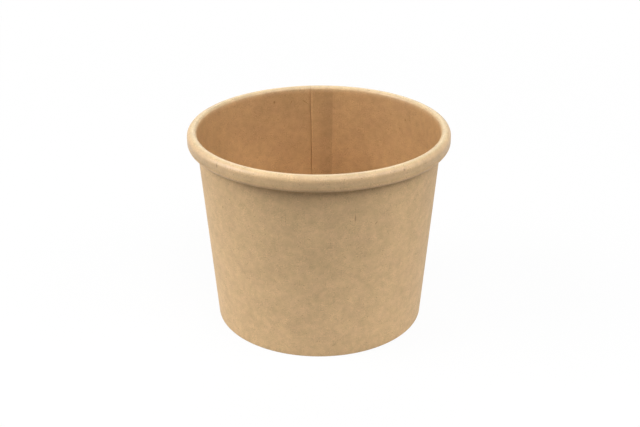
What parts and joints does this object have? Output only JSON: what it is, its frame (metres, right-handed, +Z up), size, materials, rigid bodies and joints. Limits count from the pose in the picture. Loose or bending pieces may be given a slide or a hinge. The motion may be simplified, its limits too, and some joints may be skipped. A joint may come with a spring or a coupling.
{
  "type": "paper soup cup",
  "caption": "Tapered round food cup of brown paper board with a rolled rim, a lapped side seam and a base set up inside the foot.",
  "frame": {"origin": "centre of the ring that the foot stands on", "axes": "+Z up along the cup's axis, out of the mouth; the side seam is at the back, near +Y"},
  "size_m": [0.098, 0.098, 0.0758],
  "materials": {
    "brown_board": "matte",
    "base_board": "matte"
  },
  "bodies": {
    "root": {"sidewall": "brown_board", "base_disc": "base_board"}
  },
  "joints": []
}
